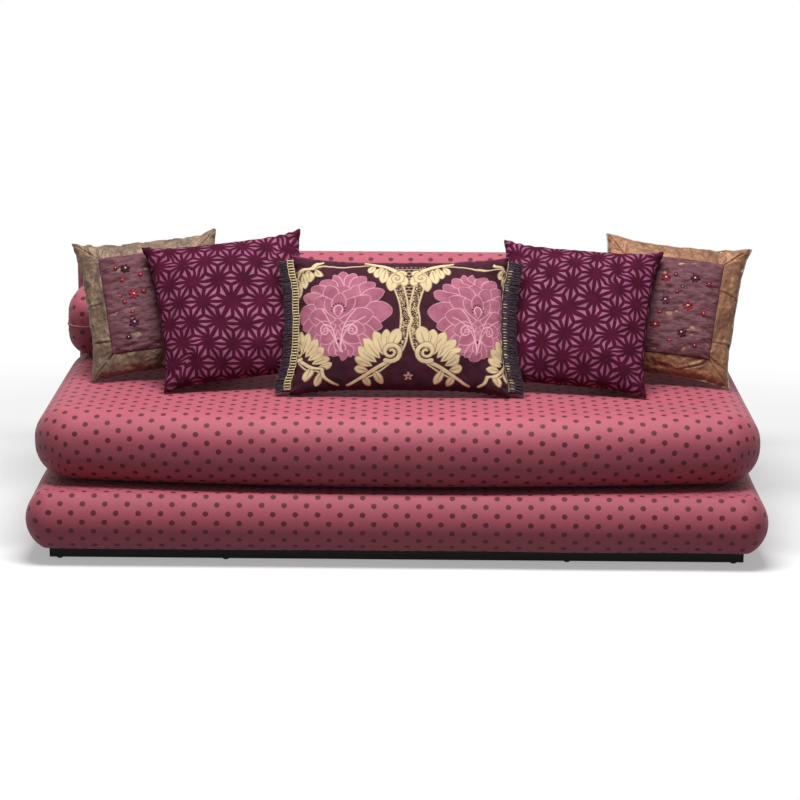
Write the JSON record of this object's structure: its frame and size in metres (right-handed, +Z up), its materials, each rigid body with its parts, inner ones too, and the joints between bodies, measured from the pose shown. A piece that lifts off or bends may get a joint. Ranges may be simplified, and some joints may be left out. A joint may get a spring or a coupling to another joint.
{
  "type": "majlis floor sofa",
  "caption": "Low armless floor sofa: recessed plinth, padded base, bolted padded back, loose seat mattress, long bolster and loose scatter cushions leaning on it.",
  "frame": {"origin": "on the floor, under the middle of the whole sofa", "axes": "+X across the sofa, to the right as seen from in front, +Y from the front to the back, +Z up"},
  "size_m": [1.95, 1.075, 0.785],
  "materials": {
    "black_painted_wood": "satin black paint",
    "pine": "planed, unfinished",
    "plywood": "sanded",
    "foam": "open-cell foam",
    "cushion_filling": "fibre filling in white lining",
    "dotted_cloth": "woven, burgundy dots on dusty rose",
    "piping_cloth": "satin bias",
    "dust_cloth": "non-woven",
    "star_velvet": "burnout velvet, star pattern",
    "gold_brocade": "metallic brocade",
    "mauve_tissue": "crinkled tissue with beads",
    "damask": "cut damask",
    "plum_lining": "plain velvet",
    "gold_braid": "ladder braid",
    "brush_fringe": "cut yarn",
    "zip_tape": "woven tape with nylon coil",
    "zip_metal": "antique finish",
    "zinc_steel": "zinc plated",
    "glide_plastic": "moulded"
  },
  "bodies": {
    "sofa_frame": {"plinth_front_board": "black_painted_wood", "plinth_rear_board": "black_painted_wood", "plinth_end_boards": "black_painted_wood", "plinth_cross_boards": "pine", "plinth_corner_blocks": "pine", "plinth_screws": "zinc_steel", "floor_glides": "glide_plastic", "base_front_rail": "pine", "base_rear_rail": "pine", "base_end_rails": "pine", "base_cross_bearers": "pine", "base_corner_blocks": "pine", "seat_deck": "plywood", "deck_pad": "foam", "base_front_roll": "foam", "base_left_roll": "foam", "base_right_roll": "foam", "base_dust_cover": "dust_cloth", "base_cover": "dotted_cloth", "back_end_posts": "pine", "back_bottom_rail": "pine", "back_top_rail": "pine", "back_uprights": "pine", "back_panel": "plywood", "back_pad": "foam", "back_cover": "dotted_cloth", "back_bolts": "zinc_steel", "back_bolt_washers": "zinc_steel", "back_tee_nuts": "zinc_steel"},
    "seat_mattress": {"seat_foam_core": "foam", "seat_cover": "dotted_cloth", "seat_zip": "zip_tape"},
    "seat_slider": {"seat_zip_slider": "zip_metal"},
    "bolster": {"bolster_filling": "cushion_filling", "bolster_cover": "dotted_cloth", "bolster_zip": "zip_tape", "bolster_piping": "piping_cloth"},
    "bolster_slider": {"bolster_zip_slider": "zip_metal"},
    "left_velvet_cushion": {"left_velvet_filling": "cushion_filling", "left_velvet_front": "star_velvet", "left_velvet_rear": "star_velvet"},
    "right_velvet_cushion": {"right_velvet_filling": "cushion_filling", "right_velvet_front": "star_velvet", "right_velvet_rear": "star_velvet"},
    "left_brocade_cushion": {"left_brocade_filling": "cushion_filling", "left_brocade_middle": "mauve_tissue", "left_brocade_border": "gold_brocade", "left_brocade_rear": "gold_brocade"},
    "right_brocade_cushion": {"right_brocade_filling": "cushion_filling", "right_brocade_middle": "mauve_tissue", "right_brocade_border": "gold_brocade", "right_brocade_rear": "gold_brocade"},
    "lumbar_cushion": {"lumbar_filling": "cushion_filling", "lumbar_front": "damask", "lumbar_rear": "plum_lining", "lumbar_left_braid": "gold_braid", "lumbar_right_braid": "gold_braid", "lumbar_left_fringe": "brush_fringe", "lumbar_right_fringe": "brush_fringe"}
  },
  "joints": [
    {"name": "seat_lift", "type": "slide", "parent": "sofa_frame", "child": "seat_mattress", "axis": [0, 0, 1], "range_m": [0, 0.25]},
    {"name": "seat_zip_run", "type": "slide", "parent": "seat_mattress", "child": "seat_slider", "axis": [1, 0, 0], "range_m": [0, 1.4]},
    {"name": "bolster_lift", "type": "slide", "parent": "seat_mattress", "child": "bolster", "axis": [0, 0, 1], "range_m": [0, 0.2]},
    {"name": "bolster_zip_run", "type": "slide", "parent": "bolster", "child": "bolster_slider", "axis": [1, 0, 0], "range_m": [0, 1.2]},
    {"name": "left_velvet_lift", "type": "slide", "parent": "seat_mattress", "child": "left_velvet_cushion", "axis": [-0.8639, 0.0604, 0.5], "range_m": [0, 0.45]},
    {"name": "right_velvet_lift", "type": "slide", "parent": "seat_mattress", "child": "right_velvet_cushion", "axis": [0.8639, 0.0604, 0.5], "range_m": [0, 0.45]},
    {"name": "left_brocade_lift", "type": "slide", "parent": "seat_mattress", "child": "left_brocade_cushion", "axis": [-0.9848, 0, 0.1736], "range_m": [0, 0.45]},
    {"name": "right_brocade_lift", "type": "slide", "parent": "seat_mattress", "child": "right_brocade_cushion", "axis": [0.9848, 0, 0.1736], "range_m": [0, 0.45]},
    {"name": "lumbar_lift", "type": "slide", "parent": "seat_mattress", "child": "lumbar_cushion", "axis": [0, -0.866, 0.5], "range_m": [0, 0.4]}
  ]
}
